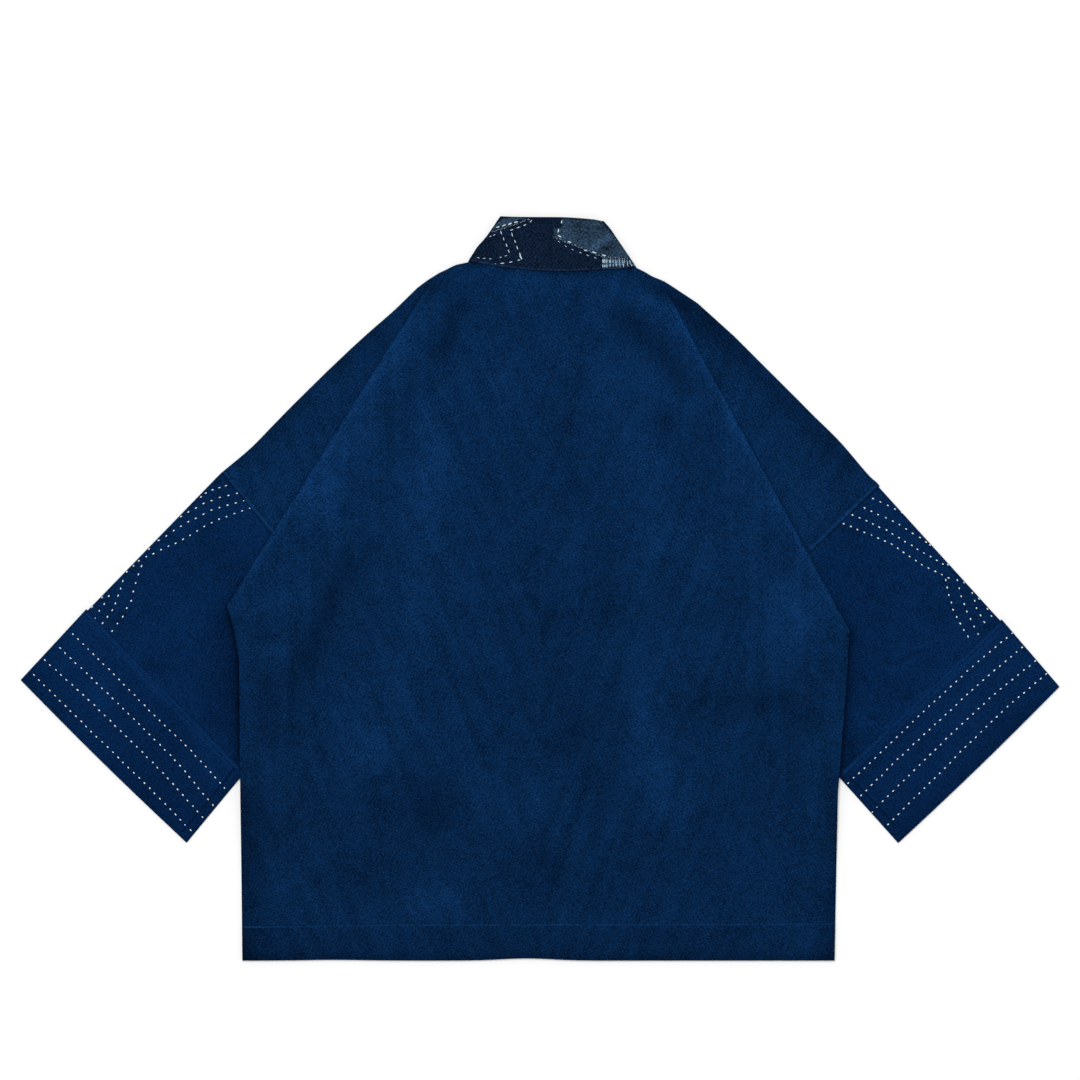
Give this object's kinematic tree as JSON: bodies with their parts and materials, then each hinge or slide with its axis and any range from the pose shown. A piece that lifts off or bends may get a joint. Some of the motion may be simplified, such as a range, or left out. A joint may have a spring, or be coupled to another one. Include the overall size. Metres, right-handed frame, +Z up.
{
  "type": "haori laid flat",
  "caption": "Hip-length indigo cotton haori laid flat, back up, sleeves drawn down over a pleat at each shoulder, with banded collar and cuffs.",
  "frame": {"origin": "centre of the laid garment's outline, on the surface that it lies on", "axes": "+X across the garment to the right sleeve as seen with the collar at the top, +Y from the hem to the collar, +Z up from the surface to the back panel"},
  "size_m": [1.0906, 0.7812, 0.0092],
  "materials": {
    "body_cloth": "slubbed cotton, indigo dyed, uneven, soft and matte",
    "sleeve_cloth": "slubbed cotton, indigo dyed, uneven, soft and matte",
    "cuff_cloth": "doubled slubbed cotton, indigo dyed, matte",
    "collar_cloth": "doubled plain cotton, near-black indigo, matte",
    "patch_cloth": "faded worn cotton, grey blue, matte",
    "white_thread": "thick soft cotton thread, off white",
    "indigo_thread": "cotton sewing thread, indigo"
  },
  "bodies": {
    "root": {"back": "body_cloth", "front_left": "body_cloth", "front_right": "body_cloth", "sleeve_left": "sleeve_cloth", "sleeve_right": "sleeve_cloth", "cuff_left": "cuff_cloth", "cuff_right": "cuff_cloth", "collar_left": "collar_cloth", "collar_right": "collar_cloth", "patch_left": "patch_cloth", "patch_right": "patch_cloth"}
  },
  "joints": []
}
